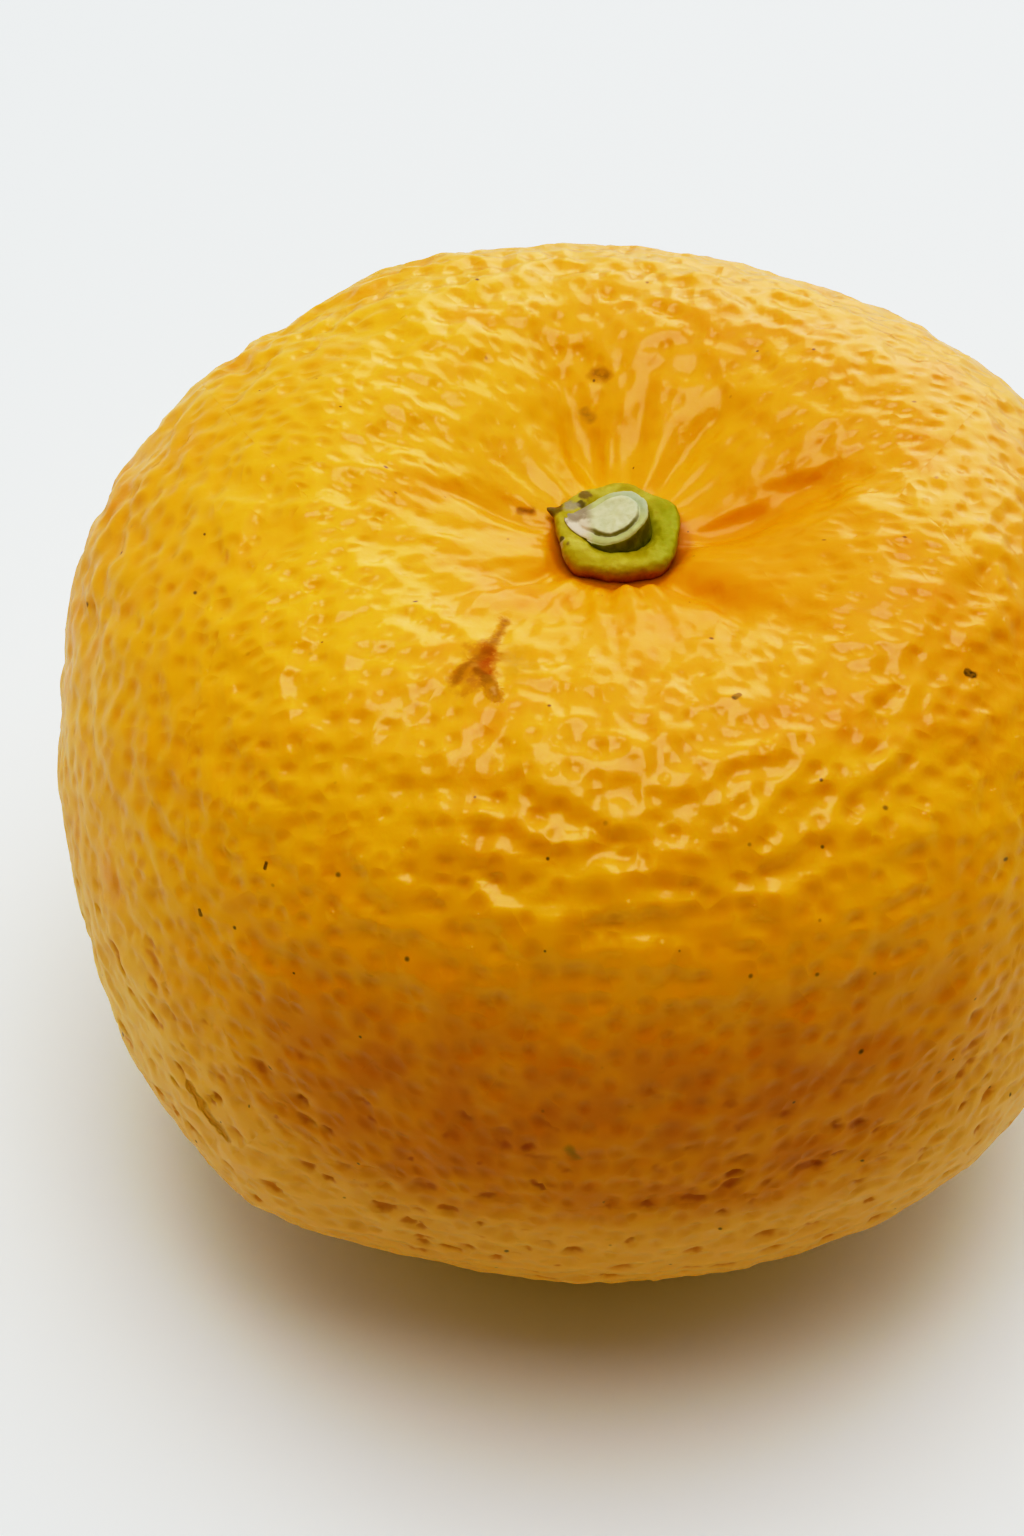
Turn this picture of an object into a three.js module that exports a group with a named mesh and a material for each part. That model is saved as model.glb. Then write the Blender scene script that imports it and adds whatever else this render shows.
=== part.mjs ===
// A whole yuzu as picked: the fruit rests on its blossom end, with the calyx and the cut stub
// of its stalk in the stem dimple. Millimetres, +Z up. The origin is on the resting surface,
// under the middle of the fruit. Azimuths run anticlockwise from +X, seen from above, and
// polar angles run down from the stem end about the middle of the girth, both in degrees.
import * as THREE from 'three';
import { mergeVertices } from 'three/addons/utils/BufferGeometryUtils.js';

// Driving dimensions
const GIRTH_RADIUS = 33;
const SEAT_HEIGHT = 19.6; // floor of the stem dimple, above the girth
const SEAT_RADIUS = 4.2;
const DIMPLE_SLOPE = new THREE.Vector2(3.8, 2.2); // from the seat's edge up the dimple's side
const RIM_HEIGHT = 23.9; // top of the shoulder round the dimple
const BLOSSOM_DEPTH = 25.2; // resting ring, below the girth
const BLOSSOM_DENT = 0.9; // rise of the skin at the blossom end, inside the resting ring
const SETTLING = 0.3; // how much of the round skin the fruit's own weight flattens
const STEM_OFFSET = new THREE.Vector2(1.0, 0.35); // of the stem end from the middle
const FRUIT_SECTORS = 72;
const FRUIT_RINGS = 46;

const CALYX_RADIUS = 3.65;
const CALYX_THICKNESS = 1.7;
const CALYX_HOLE_RADIUS = 2.4;
const CALYX_HOLE_CHAMFER = 0.2;
const CALYX_LOBES = 5;
const CALYX_LOBE_HEIGHT = 0.22;
const CALYX_LOBE_AZIMUTH = 84; // of one lobe's tip
const CALYX_SECTORS = 50;
const CALYX_EDGE_STEPS = 8;
const GAP = 0.3; // between neighbouring pieces

const STALK_RADIUS = 2.0;
const STALK_FOOT_RADIUS = 2.05;
const STALK_HEIGHT = 2.5; // at the middle of the cut
const STALK_CUT_SLOPE = 20; // degrees of the slanting cut
const STALK_CUT_AZIMUTH = 190; // the way that the cut face leans
const STALK_LEAN = new THREE.Vector2(-0.25, 0.1); // how far the cut stands off the foot
const STALK_SECTORS = 36;
const STALK_RINGS = 4;

// The meridian over the shoulder: share of the girth radius, share of the rim height.
const SHOULDER = [
  [0.46, 1],
  [0.68, 0.96],
  [0.87, 0.77],
  [0.973, 0.45],
  [1, 0.06],
];

// The meridian under the girth: share of the girth radius, share of the blossom depth.
const UNDERSIDE = [
  [0.94, 0.37],
  [0.77, 0.68],
  [0.53, 0.91],
];
const RESTING_RING = 0.28; // share of the girth radius
const DENT_EDGE = 0.13; // share of the girth radius
const DENT_EDGE_RISE = 0.4; // share of the dent's rise

// Broad lobes and dents of the skin: where, how high, and how far each reaches round.
const SWELLINGS = [
  { azimuth: 120, polar: 54, height: 0.8, reach: 11 }, // back left shoulder
  { azimuth: 148, polar: 60, height: 0.9, reach: 11 }, // left shoulder
  { azimuth: 168, polar: 66, height: 1.4, reach: 13 }, // left cheek
  { azimuth: 152, polar: 34, height: 0.7, reach: 13 }, // left of the dimple
  { azimuth: 342, polar: 36, height: 0.9, reach: 15 }, // right of the dimple
  { azimuth: 262, polar: 34, height: 0.5, reach: 16 }, // front of the dimple
  { azimuth: 68, polar: 52, height: -0.7, reach: 16 }, // flat behind the dimple
  { azimuth: 30, polar: 58, height: 0.3, reach: 16 }, // back right shoulder
  { azimuth: 212, polar: 104, height: 0.9, reach: 12 }, // lower left flank
  { azimuth: 230, polar: 109, height: 1.7, reach: 11 }, // knuckle on the lower left
  { azimuth: 314, polar: 104, height: 0.9, reach: 18 }, // front right flank
  { azimuth: 20, polar: 105, height: -0.6, reach: 24 }, // flat on the lower right
  { azimuth: 90, polar: 95, height: 0.5, reach: 26 }, // back flank
];

// Furrows that run out from the stem: azimuth at the stem, turn on the way out, how far they
// reach, depth and half width.
const FURROWS = [
  { azimuth: -6, turn: 20, reach: 36, depth: 1.5, halfWidth: 11 },
  { azimuth: 98, turn: 2, reach: 42, depth: 1.7, halfWidth: 15 },
  { azimuth: 218, turn: -4, reach: 32, depth: 0.9, halfWidth: 12 },
  { azimuth: 298, turn: 14, reach: 36, depth: 0.8, halfWidth: 10 },
  { azimuth: 165, turn: -6, reach: 26, depth: 0.5, halfWidth: 10 },
  { azimuth: 50, turn: 8, reach: 30, depth: 0.5, halfWidth: 12 },
];
const FURROW_START = [8, 16]; // polar angles between which the furrows deepen
const RELIEF_START = [11, 20]; // polar angles between which lobes and furrows set in

const radians = THREE.MathUtils.degToRad;
const degrees = THREE.MathUtils.radToDeg;
const ramp = THREE.MathUtils.smoothstep;

// The fruit's meridian from the stem end down to the blossom end, as (radius, height).
function meridian() {
  const seatEdge = new THREE.Vector2(SEAT_RADIUS, SEAT_HEIGHT);
  const curve = new THREE.SplineCurve([
    new THREE.Vector2(0, SEAT_HEIGHT),
    seatEdge,
    seatEdge.clone().add(DIMPLE_SLOPE),
    ...SHOULDER.map(([out, up]) => new THREE.Vector2(GIRTH_RADIUS * out, RIM_HEIGHT * up)),
    ...UNDERSIDE.map(([out, down]) => new THREE.Vector2(GIRTH_RADIUS * out, -BLOSSOM_DEPTH * down)),
    new THREE.Vector2(GIRTH_RADIUS * RESTING_RING, -BLOSSOM_DEPTH - SETTLING),
    new THREE.Vector2(GIRTH_RADIUS * DENT_EDGE, BLOSSOM_DENT * DENT_EDGE_RISE - BLOSSOM_DEPTH),
    new THREE.Vector2(0, BLOSSOM_DENT - BLOSSOM_DEPTH),
  ]);
  const points = curve.getSpacedPoints(FRUIT_RINGS);
  points[0].x = 0;
  points[FRUIT_RINGS].x = 0;
  return points;
}

// How far a level stands off the middle, growing from nothing at the girth.
function leanAt(height) {
  return STEM_OFFSET.clone().multiplyScalar(ramp(height, 0, SEAT_HEIGHT));
}

// Angle between two directions given by azimuth and polar angle.
function angleBetween(azimuthA, polarA, azimuthB, polarB) {
  const a = new THREE.Vector3().setFromSphericalCoords(1, radians(polarA), radians(azimuthA));
  const b = new THREE.Vector3().setFromSphericalCoords(1, radians(polarB), radians(azimuthB));
  return degrees(a.angleTo(b));
}

// How far the skin stands out from the plain meridian in one direction.
function relief(azimuth, polar) {
  let height = 0;
  for (const lobe of SWELLINGS) {
    const away = angleBetween(azimuth, polar, lobe.azimuth, lobe.polar) / lobe.reach;
    height += lobe.height * Math.exp(-away * away);
  }
  for (const furrow of FURROWS) {
    const along = polar / furrow.reach;
    const middle = furrow.azimuth + furrow.turn * along;
    const off = THREE.MathUtils.euclideanModulo(azimuth - middle + 180, 360) - 180;
    const across = off / furrow.halfWidth;
    const ends = ramp(polar, ...FURROW_START) * Math.exp(-(along ** 4));
    height -= furrow.depth * ends * Math.exp(-across * across);
  }
  // the seat under the calyx stays level
  return height * ramp(polar, ...RELIEF_START);
}

// Closed geometry with shared vertices, from one that repeats them along its seams.
function closed(geometry) {
  geometry.deleteAttribute('normal');
  geometry.deleteAttribute('uv');
  return mergeVertices(geometry, 1e-3);
}

// Turns the meridian round the stalk, pushes the skin in and out, and levels the resting ring.
function fruitGeometry() {
  const profile = meridian().reverse(); // a lathe faces outwards on a profile that climbs
  const geometry = closed(new THREE.LatheGeometry(profile, FRUIT_SECTORS).rotateX(Math.PI / 2));
  const position = geometry.getAttribute('position');
  const point = new THREE.Vector3();
  for (let i = 0; i < position.count; i++) {
    point.fromBufferAttribute(position, i);
    const distance = point.length();
    const polar = degrees(Math.acos(point.z / distance));
    const azimuth = degrees(Math.atan2(point.y, point.x));
    point.multiplyScalar(1 + relief(azimuth, polar) / distance);
    const lean = leanAt(point.z);
    position.setXYZ(i, point.x + lean.x, point.y + lean.y, Math.max(point.z, -BLOSSOM_DEPTH));
  }
  geometry.computeBoundingBox();
  return geometry;
}

// A ring with five blunt lobes, thick and rounded at its edge, with a hole for the stalk.
function calyxGeometry() {
  const edge = CALYX_THICKNESS / 2;
  const outer = CALYX_RADIUS - edge;
  const profile = [new THREE.Vector2(CALYX_HOLE_RADIUS, 0)];
  for (let i = 0; i <= CALYX_EDGE_STEPS; i++) {
    const turn = THREE.MathUtils.lerp(-Math.PI / 2, Math.PI / 2, i / CALYX_EDGE_STEPS);
    profile.push(new THREE.Vector2(outer + edge * Math.cos(turn), edge + edge * Math.sin(turn)));
  }
  profile.push(new THREE.Vector2(CALYX_HOLE_RADIUS + CALYX_HOLE_CHAMFER, CALYX_THICKNESS));
  profile.push(new THREE.Vector2(CALYX_HOLE_RADIUS, CALYX_THICKNESS - CALYX_HOLE_CHAMFER));
  profile.push(profile[0].clone());
  const geometry = closed(new THREE.LatheGeometry(profile, CALYX_SECTORS).rotateX(Math.PI / 2));
  const position = geometry.getAttribute('position');
  for (let i = 0; i < position.count; i++) {
    const x = position.getX(i);
    const y = position.getY(i);
    const radius = Math.hypot(x, y);
    const turn = CALYX_LOBES * (Math.atan2(y, x) - radians(CALYX_LOBE_AZIMUTH));
    const share = (radius - CALYX_HOLE_RADIUS) / (CALYX_RADIUS - CALYX_HOLE_RADIUS);
    const scale = 1 + (CALYX_LOBE_HEIGHT * Math.cos(turn) * share) / radius;
    position.setXY(i, x * scale, y * scale);
  }
  return geometry;
}

// A short peg, a little wider at its foot, cut off at a slant.
function stalkGeometry() {
  const peg = new THREE.CylinderGeometry(
    STALK_RADIUS,
    STALK_FOOT_RADIUS,
    STALK_HEIGHT,
    STALK_SECTORS,
    STALK_RINGS,
  );
  const geometry = closed(peg.rotateX(Math.PI / 2).translate(0, 0, STALK_HEIGHT / 2));
  const rise = Math.tan(radians(STALK_CUT_SLOPE));
  const lean = radians(STALK_CUT_AZIMUTH);
  const position = geometry.getAttribute('position');
  for (let i = 0; i < position.count; i++) {
    const x = position.getX(i);
    const y = position.getY(i);
    const z = position.getZ(i);
    const share = z / STALK_HEIGHT;
    const drop = rise * (x * Math.cos(lean) + y * Math.sin(lean)) * share;
    position.setXYZ(i, x + STALK_LEAN.x * share, y + STALK_LEAN.y * share, z - drop);
  }
  return geometry;
}

function piece(name, geometry, color, roughness) {
  const mesh = new THREE.Mesh(geometry, new THREE.MeshStandardMaterial({ color, roughness }));
  mesh.name = name;
  return mesh;
}

const fruit = piece('fruit', fruitGeometry(), 0xdc9a12, 0.4);
const calyx = piece('calyx', calyxGeometry(), 0xa39a20, 0.6);
const stalk = piece('stalk_stub', stalkGeometry(), 0x8f9a5a, 0.7);
calyx.position.set(STEM_OFFSET.x, STEM_OFFSET.y, SEAT_HEIGHT + GAP);
stalk.position.copy(calyx.position);

const yuzu = new THREE.Group();
yuzu.add(fruit, calyx, stalk);
const middle = fruit.geometry.boundingBox.getCenter(new THREE.Vector3());
yuzu.position.set(-middle.x, -middle.y, BLOSSOM_DEPTH);

export default yuzu;
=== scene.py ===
# A yuzu on a pale table: peel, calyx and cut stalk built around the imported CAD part.
import math

import bmesh
import bpy
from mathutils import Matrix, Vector
from mathutils import noise as softNoise


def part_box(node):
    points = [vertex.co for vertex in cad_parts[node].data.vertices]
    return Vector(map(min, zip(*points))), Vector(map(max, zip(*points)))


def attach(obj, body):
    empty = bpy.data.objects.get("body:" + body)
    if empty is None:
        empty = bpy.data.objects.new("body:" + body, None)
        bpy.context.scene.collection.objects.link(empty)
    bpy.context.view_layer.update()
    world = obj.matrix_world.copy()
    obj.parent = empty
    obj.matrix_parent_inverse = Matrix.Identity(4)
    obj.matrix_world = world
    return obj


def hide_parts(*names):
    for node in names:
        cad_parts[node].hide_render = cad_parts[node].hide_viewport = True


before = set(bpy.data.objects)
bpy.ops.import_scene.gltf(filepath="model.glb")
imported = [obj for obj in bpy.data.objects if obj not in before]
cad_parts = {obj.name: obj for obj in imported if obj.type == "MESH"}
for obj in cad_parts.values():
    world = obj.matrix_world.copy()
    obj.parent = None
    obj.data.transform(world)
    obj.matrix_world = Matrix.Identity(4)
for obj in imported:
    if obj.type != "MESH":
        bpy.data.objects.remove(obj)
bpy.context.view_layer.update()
scene = bpy.context.scene
mm = 0.001


# a socket is linked, anything else becomes the input's own value, and colours come without alpha
def feed(tree, socket, value):
    if isinstance(value, bpy.types.NodeSocket):
        tree.links.new(value, socket)
    elif socket.type == "RGBA":
        socket.default_value = (*value, 1.0)
    else:
        socket.default_value = value


def addNode(tree, kind, values=None, **settings):
    node = tree.nodes.new(kind)
    for name, value in settings.items():
        setattr(node, name, value)
    for name, value in (values or {}).items():
        feed(tree, node.inputs[name], value)
    return node


def maths(tree, operation, *values, clamp=False):
    settings = {"operation": operation, "use_clamp": clamp}
    return addNode(tree, "ShaderNodeMath", dict(enumerate(values)), **settings).outputs[0]


def vectors(tree, operation, *values, output="Vector"):
    node = addNode(tree, "ShaderNodeVectorMath", dict(enumerate(values)), operation=operation)
    return node.outputs[output]


def scaled(tree, vector, factor):
    values = {0: vector, "Scale": factor}
    return addNode(tree, "ShaderNodeVectorMath", values, operation="SCALE").outputs[0]


def axes(tree, vector):
    return addNode(tree, "ShaderNodeSeparateXYZ", {0: vector}).outputs


def combine(tree, x, y, z):
    return addNode(tree, "ShaderNodeCombineXYZ", {"X": x, "Y": y, "Z": z}).outputs[0]


def ramp(tree, value, low, high, atLow=0.0, atHigh=1.0, smooth=True):
    kind = "SMOOTHSTEP" if smooth else "LINEAR"
    values = {"Value": value, "From Min": low, "From Max": high, "To Min": atLow, "To Max": atHigh}
    return addNode(tree, "ShaderNodeMapRange", values, interpolation_type=kind).outputs["Result"]


def chained(tree, operation, values):
    total = values[0]
    for value in values[1:]:
        total = maths(tree, operation, total, value)
    return total


def added(tree, *values):
    return chained(tree, "ADD", values)


# a row in brackets stands for a ramp: the value, low, high and what it is at each of them
def product(tree, *values):
    factors = [ramp(tree, *value) if isinstance(value, tuple) else value for value in values]
    return chained(tree, "MULTIPLY", factors)


def centred(tree, value):
    return maths(tree, "SUBTRACT", value, 0.5)


def flatLength(tree, x, y):
    return maths(tree, "SQRT", added(tree, product(tree, x, x), product(tree, y, y)))


# size is the width of one wave in the vector's own unit
def noise(tree, vector, size, detail=2.0, rough=0.5, swirl=0.0):
    values = {"Vector": vector, "Scale": 1.0 / size, "Detail": detail,
              "Roughness": rough, "Distortion": swirl}
    return addNode(tree, "ShaderNodeTexNoise", values).outputs[0]


def wobble(tree, vector, size, detail=2.0, rough=0.5):
    return centred(tree, noise(tree, vector, size, detail, rough))


# a vector pushed about by a slow noise, so that a pattern laid on it runs less straight
def bent(tree, vector, place, frequency, amount, detail):
    values = {"Vector": place, "Scale": frequency, "Detail": detail}
    push = addNode(tree, "ShaderNodeTexNoise", values).outputs["Color"]
    return vectors(tree, "ADD", vector, scaled(tree, push, amount))


# round spots, one to a cell: how far out a point is, 1 at the edge, and the spot's random numbers
def scattered(tree, vector, spacing, radii, pick="Y", least=0.0, jitter=1.0, dimensions="2D"):
    values = {"Vector": vector, "Scale": 1.0 / spacing, "Randomness": jitter}
    cell = addNode(tree, "ShaderNodeTexVoronoi", values, voronoi_dimensions=dimensions)
    chance = axes(tree, cell.outputs["Color"])
    distance = maths(tree, "MULTIPLY", cell.outputs["Distance"], spacing)
    radius = ramp(tree, chance[pick], least, 1.0, *radii, smooth=False)
    return maths(tree, "DIVIDE", distance, radius), chance


def mixColour(tree, factor, a, b):
    values = {0: factor, 6: a, 7: b}
    return addNode(tree, "ShaderNodeMix", values, data_type="RGBA", clamp_factor=True).outputs[2]


# one colour over another, each with the share of it that shows
def layered(tree, colour, layers):
    for share, shade in layers:
        colour = mixColour(tree, share, colour, shade)
    return colour


def bumped(tree, height, strength=1.0, **others):
    values = {"Height": height, "Strength": strength, "Distance": mm, **others}
    return addNode(tree, "ShaderNodeBump", values).outputs[0]


def newMaterial(name, settings):
    material = bpy.data.materials.new(name)
    material.use_nodes = True
    tree = material.node_tree
    shader = next(n for n in tree.nodes if n.type == "BSDF_PRINCIPLED")
    for title, value in settings.items():
        shader.inputs[title].default_value = value
    return material, tree, shader


# the modifiers' result becomes the object's own mesh
def flatten(thing):
    bpy.context.view_layer.update()
    shaped = thing.evaluated_get(bpy.context.evaluated_depsgraph_get())
    finished = bpy.data.meshes.new_from_object(shaped)
    thing.modifiers.clear()
    thing.data = finished


fruitLow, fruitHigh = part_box("fruit")
calyxLow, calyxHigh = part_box("calyx")
girth = {"centre": Vector((0, 0, 25.2 * mm)), "radius": (fruitHigh.x - fruitLow.x) / 2}
stemPoint = (calyxLow + calyxHigh) / 2


# the plain fruit of the frame, made smooth, which the peel is laid on
def makeGuide():
    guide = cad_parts["fruit"].copy()
    guide.data = guide.data.copy()
    guide.name = "guide"
    guide.parent = None
    scene.collection.objects.link(guide)
    mesh = bmesh.new()
    mesh.from_mesh(guide.data)
    bmesh.ops.remove_doubles(mesh, verts=mesh.verts, dist=0.005 * mm)
    bmesh.ops.join_triangles(mesh, faces=mesh.faces, angle_face_threshold=0.7, angle_shape_threshold=3.0)
    mesh.to_mesh(guide.data)
    mesh.free()
    smooth = guide.modifiers.new("smooth", "SUBSURF")
    smooth.levels = smooth.render_levels = 2
    flatten(guide)
    return guide


# the point of the plain skin at an azimuth and a polar angle from the stem end, in degrees
def skinPoint(azimuth, polar):
    a, p = math.radians(azimuth), math.radians(polar)
    way = Vector((math.sin(p) * math.cos(a), math.sin(p) * math.sin(a), math.cos(p)))
    return guide.ray_cast(girth["centre"], way)[1]


guide = makeGuide()
bpy.context.view_layer.update()
print("guide:", len(guide.data.vertices), "points")


# lengths are in millimetres, places on the skin are an azimuth and a polar angle in degrees
peel = {
    "panels": 128,  # quads along each side of the six-sided start mesh
    "sheetRadius": 29.0,  # size at which the patterns of glands and pits are laid out
    "sheetGap": 100.0,  # keeps the patterns of the six sheets from being the same
    "glandSpacing": 1.42,
    "glandRadius": 0.85,
    "glandDepth": 0.08,
    "beadSpacing": 1.9,  # of the knobs that the wax stands in
    "beadHeight": 0.16,
    "speckSpacing": 3.4,
    "pitSpacing": 1.5,
    "pitStretch": 1.5,
    "pitRadius": 0.8,
    "pitDepth": 0.36,
    "wrinkleHeight": 0.36,
    "wrinkleWidth": 2.1,
    "wrinkleStretch": 1.8,  # how much longer the wrinkles are round the fruit
    "pebbleHeight": 0.36,
    "pebbleWidth": 1.25,
    "lumpHeight": 0.35,
    "lumpWidth": 3.4,
    "swellHeight": 0.5,
    "swellWidth": 16.0,
    "brimHeight": 0.8,  # of the skin that stands close round the front of the calyx
    "seatHeight": 0.75,
    "pleatHeight": 0.85,
    "pleatCount": 22,
    "finePleatHeight": 0.3,
    "finePleatCount": 60,
    # creases that run out from the stalk: azimuth at the stalk, turn per millimetre, where they
    # start and end, half width, depth
    "creases": (
        (4, 0.6, 4.0, 14.5, 1.5, 0.65),
        (16, -0.2, 9.0, 15.5, 0.55, 0.30),
        (303, 0.9, 4.2, 15.0, 1.10, 0.55),
        (224, -0.6, 4.2, 12.5, 1.20, 0.50),
        (108, -0.2, 4.2, 17.0, 1.10, 0.50),
        (84, -0.3, 4.2, 13.0, 0.80, 0.35),
        (57, -0.2, 4.2, 12.0, 0.75, 0.35),
        (166, 0.3, 4.2, 11.0, 0.90, 0.35),
        (262, 0.4, 4.0, 9.5, 0.60, 0.30),
        (283, 0.2, 4.0, 11.5, 0.60, 0.32),
    ),
    # folds that stand out: from one place to another, how far they bow down the side, the width
    # of the rise, height. The skin dips, climbs within the rise and then runs out flat
    "foldShare": 0.8,  # of the heights given here
    "folds": (
        ((255, 29), (281, 30.5), -0.6, 0.9, 0.26),
        ((235, 42), (246, 40.5), 0.2, 1.0, 0.34),
        ((243, 45.5), (257, 44.5), 0.5, 0.9, 0.34),
        ((256, 45.5), (270, 46), 0.8, 1.0, 0.38),
        ((237, 51), (249, 53), 0.3, 1.0, 0.40),
        ((249, 51.5), (268, 50), 1.6, 1.1, 0.50),
        ((268, 48.5), (277, 48.5), 0.3, 0.9, 0.28),
        ((281, 51.5), (294, 53), 0.5, 1.0, 0.40),
        ((267, 56), (278, 56.5), 0.3, 0.8, 0.34),
        ((285, 44.5), (295, 46), 0.3, 0.9, 0.32),
        ((207, 37), (219, 46), -0.8, 1.0, 0.42),
        ((217, 44.5), (229, 44.5), 0.4, 1.0, 0.36),
        ((174, 46), (181, 34), 0.4, 0.9, 0.30),
        ((159, 31), (148, 20), 0.3, 0.6, 0.24),
        ((164, 28), (156, 19), -0.2, 0.6, 0.22),
        ((145, 36), (134, 25), 0.3, 0.7, 0.24),
        ((204, 24), (232, 11), 0.6, 1.2, 0.45),
        ((309, 31), (320, 14), 0.5, 1.0, 0.45),
        ((264, 22), (253, 12), 0.2, 0.5, 0.30),
        ((270, 19), (268, 13.5), 0.0, 0.6, 0.20),
        ((284, 23), (294, 12), 0.3, 0.5, 0.30),
        ((278, 20), (281, 13.5), 0.1, 0.6, 0.20),
        ((244, 23), (238, 13), 0.2, 0.7, 0.28),
    ),
    # strokes and spots: from one place to another, half width, softness of the edge, share of
    # the colour that shows, how far it stands up, colour
    "marks": (
        ((246.2, 29.6), (250.5, 30.8), 1.6, 0.9, 0.5, 0.0, (0.52, 0.28, 0.05)),
        ((241.4, 30.6), (242.6, 34.0), 1.6, 0.7, 0.9, 0.0, (0.47, 0.20, 0.02)),
        ((238.0, 24.4), (241.8, 29.8), 0.50, 0.95, 0.9, 0.06, (0.34, 0.14, 0.005)),
        ((241.8, 29.8), (244.4, 32.4), 0.72, 0.8, 0.95, 0.0, (0.42, 0.10, 0.002)),
        ((241.8, 29.8), (239.8, 32.4), 0.55, 0.95, 0.65, 0.0, (0.38, 0.15, 0.008)),
        ((239.8, 32.4), (239.8, 34.8), 0.58, 0.95, 0.7, 0.0, (0.36, 0.16, 0.01)),
        ((242.4, 32.8), (246.0, 33.7), 0.40, 0.7, 0.85, 0.0, (0.32, 0.12, 0.004)),
        ((246.0, 33.7), (249.1, 35.1), 0.60, 0.6, 0.8, 0.06, (0.38, 0.17, 0.012)),
        ((248.0, 34.5), (248.7, 34.9), 0.26, 0.8, 0.7, 0.0, (0.66, 0.38, 0.14)),
        ((88.2, 28.6), (90.6, 29.2), 0.70, 0.95, 0.7, 0.0, (0.26, 0.11, 0.01)),
        ((92.5, 24.6), (94.8, 25.2), 0.50, 0.9, 0.55, 0.0, (0.25, 0.16, 0.06)),
        ((150.5, 13.4), (153.5, 14.6), 0.36, 0.9, 0.85, 0.0, (0.26, 0.10, 0.02)),
        ((40.0, 178.0), (200.0, 178.5), 1.7, 0.6, 0.9, 0.15, (0.26, 0.13, 0.04)),
        ((328.4, 46.4), (328.5, 46.9), 0.30, 0.6, 0.95, 0.0, (0.03, 0.015, 0.01)),
        ((294.0, 36.0), (295.2, 35.8), 0.20, 0.5, 0.8, 0.0, (0.12, 0.11, 0.06)),
        ((229.0, 59.5), (229.2, 59.9), 0.16, 0.5, 0.85, 0.0, (0.07, 0.03, 0.01)),
        ((222.7, 68.7), (222.9, 69.0), 0.17, 0.5, 0.85, 0.0, (0.07, 0.03, 0.01)),
        ((266.6, 80.5), (267.4, 81.6), 0.50, 0.9, 0.5, 0.0, (0.24, 0.20, 0.08)),
        ((223.5, 93.0), (228.5, 97.0), 0.55, 0.9, 0.7, -0.25, (0.50, 0.19, 0.005)),
    ),
    "colours": {
        "gold": (0.80, 0.395, 0.004),
        "yellow": (0.83, 0.44, 0.006),
        "orange": (0.77, 0.285, 0.002),
        "nearStem": (0.77, 0.31, 0.003),
        "deeper": (0.76, 0.33, 0.003),
        "lighter": (0.87, 0.49, 0.012),
        "shoulder": (0.84, 0.48, 0.012),
        # painted shade on the front flank, here and in the flank's gland and pit colours below
        "flankShade": (0.60, 0.215, 0.001),
        "gland": (0.64, 0.25, 0.001),
        "flankShadeGland": (0.50, 0.14, 0.0005),
        # painted shade in the hollows and, below, in the pits
        "hollow": (0.72, 0.25, 0.001),
        # painted reflection of the table, low on the sides and at the front
        "pale": (0.84, 0.53, 0.10),
        "tan": (0.80, 0.47, 0.10),
        "pit": (0.67, 0.25, 0.001),
        "flankShadePit": (0.46, 0.10, 0.0005),
        # painted shadow under the calyx
        "ring": (0.46, 0.15, 0.004),
        "speck": (0.12, 0.07, 0.01),
    },
    "grain": {"gland": -0.08, "fine": 0.012, "knobs": 0.055, "pleats": 0.22},  # heights of the bump
    "waxShare": 0.48,
    "finish": {
        "Coat Roughness": 0.13,
        "IOR": 1.40,
        "Subsurface Weight": 0.25,
        "Subsurface Radius": (1.0, 0.45, 0.08),
        "Subsurface Scale": 1.6 * mm,
    },
}


# a flat pattern's place on the skin: six square sheets wrap the fruit, one of them on the side
# between the stem end and the front
def sheetPlace(tree, fromCentre):
    turn = {"Vector": fromCentre, "Angle": math.radians(-45)}
    turned = addNode(tree, "ShaderNodeVectorRotate", turn, rotation_type="X_AXIS").outputs[0]
    x, y, z = axes(tree, turned)
    sizes = [maths(tree, "ABSOLUTE", side) for side in (x, y, z)]
    largest = maths(tree, "MAXIMUM", maths(tree, "MAXIMUM", sizes[0], sizes[1]), sizes[2])
    onX = maths(tree, "GREATER_THAN", sizes[0], maths(tree, "MAXIMUM", sizes[1], sizes[2]))
    onZ = maths(tree, "GREATER_THAN", sizes[2], maths(tree, "MAXIMUM", sizes[0], sizes[1]))
    across = added(tree, x, product(tree, onX, maths(tree, "SUBTRACT", y, x)))
    along = added(tree, z, product(tree, onZ, maths(tree, "SUBTRACT", y, z)))
    onY = maths(tree, "SUBTRACT", maths(tree, "SUBTRACT", 1.0, onX), onZ)
    facing = added(tree, product(tree, onX, x), product(tree, onY, y), product(tree, onZ, z))
    onMinus = maths(tree, "LESS_THAN", facing, 0.0)
    gap = peel["sheetGap"]
    gaps = [product(tree, on, gap * times) for on, times in ((onX, 1), (onZ, 2), (onMinus, 4))]
    radius = peel["sheetRadius"]
    u = product(tree, maths(tree, "ARCTANGENT", maths(tree, "DIVIDE", across, largest)), radius)
    v = product(tree, maths(tree, "ARCTANGENT", maths(tree, "DIVIDE", along, largest)), radius)
    return combine(tree, added(tree, u, added(tree, *gaps)), v, 0.0)


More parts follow.
